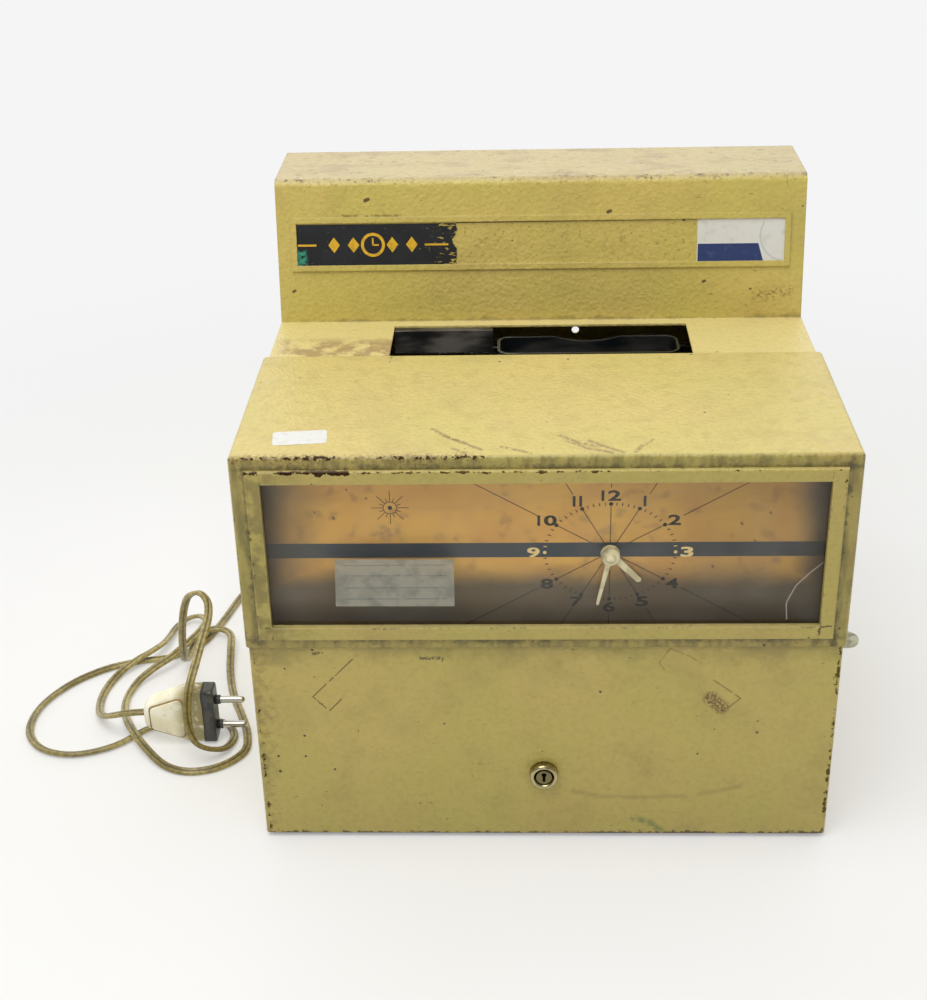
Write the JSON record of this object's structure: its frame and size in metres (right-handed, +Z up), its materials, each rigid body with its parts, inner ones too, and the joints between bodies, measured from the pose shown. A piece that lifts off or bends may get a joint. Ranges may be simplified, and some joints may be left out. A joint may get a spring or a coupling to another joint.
{
  "type": "time clock",
  "caption": "Employee time clock: enamelled steel case with a wide dial window, a card slot in front of a raised tower, a key lock and a twin-core cord with a two-pin plug.",
  "frame": {"origin": "on the tray's flat underside, midway across the case and midway between the hood's face and the rear panel", "axes": "+Z up, +X to the right of someone who faces the dial, the dial faces -Y"},
  "size_m": [0.513, 0.3405, 0.3345],
  "materials": {
    "enamel": "aged mustard-olive hammered stove enamel, chipped at the edges",
    "tray_paint": "dark brown primer, scuffed",
    "zinc_steel": "zinc-plated sheet steel, dulled",
    "bright_steel": "bright turned steel",
    "brass": "brass, lightly tarnished",
    "nickel_brass": "nickelled brass, worn through",
    "black_steel": "blackened steel, worn bright at the rim",
    "dial_print": "orange-bronze lacquered plate, darkened by age",
    "hand_paint": "greyish cream lacquer",
    "pane": "clear pane, scratched and dusty",
    "motor_case": "black crackle enamel",
    "copper_coil": "varnished winding under tape",
    "paper_coil": "varnished paper over a winding",
    "terminal_plastic": "cream moulded plastic",
    "rubber_black": "moulded black rubber",
    "spool_plastic": "black moulded plastic with inked ribbon",
    "ribbon_cloth": "inked woven ribbon",
    "cord_pvc": "aged khaki PVC",
    "plug_plastic": "cream moulded plastic with a darker base",
    "pin_metal": "nickelled brass pins"
  },
  "bodies": {
    "case": {"base_tray": "tray_paint", "rear_housing": "enamel", "rear_panel": "enamel", "housing_screws": "zinc_steel", "frame_left": "zinc_steel", "frame_right": "zinc_steel", "frame_screws": "bright_steel", "tie_rods": "bright_steel", "chassis_plate": "zinc_steel", "back_plate": "brass", "plate_pillars": "brass", "dial_plate": "dial_print", "dial_posts": "brass", "drive_motor": "motor_case", "print_beam": "zinc_steel", "print_bracket": "zinc_steel", "type_shaft": "bright_steel", "ribbon": "ribbon_cloth", "pocket_rods": "bright_steel", "hammer_shaft": "bright_steel", "hammer_spring": "bright_steel", "solenoid_frame": "zinc_steel", "solenoid_coil": "copper_coil", "transformer_core": "black_steel", "transformer_coil": "paper_coil", "terminal_block": "terminal_plastic", "inner_lead": "cord_pvc", "cord_grommet": "rubber_black", "slot_guide": "black_steel", "hinge_ears": "zinc_steel", "hinge_pins": "bright_steel", "selector_bracket": "zinc_steel", "cord": "cord_pvc", "plug_body": "plug_plastic", "plug_pins": "pin_metal"},
    "cover": {"hood": "enamel", "bezel_frame": "enamel", "window_pane": "pane", "pane_clips": "zinc_steel", "front_panel": "enamel", "hinge_arms": "zinc_steel", "lock_body": "nickel_brass", "lock_nut": "bright_steel"},
    "lock": {"lock_plug": "nickel_brass", "lock_cam": "bright_steel"},
    "minute_train": {"minute_arbor": "brass", "minute_hand": "hand_paint"},
    "hour_train": {"hour_wheel": "brass", "hour_hand": "hand_paint"},
    "motion_works": {"minute_wheel": "brass"},
    "motor_shaft": {"motor_pinion": "brass"},
    "minute_type": {"minute_type_wheel": "bright_steel"},
    "carry": {"carry_wheel": "brass"},
    "hour_type": {"hour_type_wheel": "bright_steel"},
    "supply": {"supply_spool": "spool_plastic"},
    "takeup": {"takeup_spool": "spool_plastic"},
    "hammer": {"hammer": "bright_steel"},
    "plunger": {"solenoid_plunger": "bright_steel"},
    "pocket": {"card_pocket": "black_steel"},
    "selector": {"selector_lever": "bright_steel"}
  },
  "joints": [
    {"name": "cover_swing", "type": "hinge", "parent": "case", "child": "cover", "pos_m": [0, 0.012, 0.24], "axis": [-1, 0, 0], "range_deg": [0, 85]},
    {"name": "lock_turn", "type": "hinge", "parent": "cover", "child": "lock", "pos_m": [0, -0.138, 0.0465], "axis": [0, 1, 0], "range_deg": [0, 90]},
    {"name": "minute_turn", "type": "hinge", "parent": "case", "child": "minute_train", "pos_m": [0.0357, -0.126, 0.186], "axis": [0, 1, 0], "continuous": true},
    {"name": "hour_turn", "type": "hinge", "parent": "case", "child": "hour_train", "pos_m": [0.0357, -0.126, 0.186], "axis": [0, 1, 0], "continuous": true},
    {"name": "works_turn", "type": "hinge", "parent": "case", "child": "motion_works", "pos_m": [0.0357, -0.12, 0.1644], "axis": [0, 1, 0], "continuous": true},
    {"name": "motor_turn", "type": "hinge", "parent": "case", "child": "motor_shaft", "pos_m": [0.00751, -0.106, 0.17574], "axis": [0, 1, 0], "continuous": true},
    {"name": "minute_type_turn", "type": "hinge", "parent": "case", "child": "minute_type", "pos_m": [0.006, -0.014, 0.186], "axis": [1, 0, 0], "continuous": true},
    {"name": "carry_turn", "type": "hinge", "parent": "case", "child": "carry", "pos_m": [0.002, -0.0285, 0.21111], "axis": [1, 0, 0], "continuous": true},
    {"name": "hour_type_turn", "type": "hinge", "parent": "case", "child": "hour_type", "pos_m": [-0.006, -0.014, 0.186], "axis": [1, 0, 0], "continuous": true},
    {"name": "takeup_turn", "type": "hinge", "parent": "case", "child": "takeup", "pos_m": [0.088, -0.012, 0.186], "axis": [0, 0, 1], "continuous": true},
    {"name": "supply_turn", "type": "hinge", "parent": "case", "child": "supply", "pos_m": [-0.058, -0.012, 0.186], "axis": [0, 0, 1], "continuous": true},
    {"name": "hammer_swing", "type": "hinge", "parent": "case", "child": "hammer", "pos_m": [-0.002, 0.063, 0.105], "axis": [1, 0, 0], "range_deg": [0, 20], "stiffness_Nm_per_rad": 0.05, "springref_deg": -20.05},
    {"name": "plunger_slide", "type": "slide", "parent": "case", "child": "plunger", "axis": [0, 1, 0], "range_m": [0, 0.00925]},
    {"name": "pocket_slide", "type": "slide", "parent": "case", "child": "pocket", "axis": [-1, 0, 0], "range_m": [0, 0.06]},
    {"name": "selector_swing", "type": "hinge", "parent": "case", "child": "selector", "pos_m": [0.109, -0.109, 0.118], "axis": [0, 0, 1], "range_deg": [0, 31.02]}
  ],
  "couplings": [
    {"joint": "hour_turn", "follows": "minute_turn", "ratio": 0.083333},
    {"joint": "works_turn", "follows": "minute_turn", "ratio": -0.33333},
    {"joint": "motor_turn", "follows": "minute_turn", "ratio": -4},
    {"joint": "minute_type_turn", "follows": "minute_turn", "ratio": -1},
    {"joint": "carry_turn", "follows": "minute_turn", "ratio": 0.25},
    {"joint": "hour_type_turn", "follows": "minute_turn", "ratio": -0.041667},
    {"joint": "supply_turn", "follows": "takeup_turn", "ratio": 1.4286},
    {"joint": "plunger_slide", "follows": "hammer_swing", "m_per_rad": 0.026455},
    {"joint": "selector_swing", "follows": "pocket_slide", "rad_per_m": 9.0175}
  ]
}
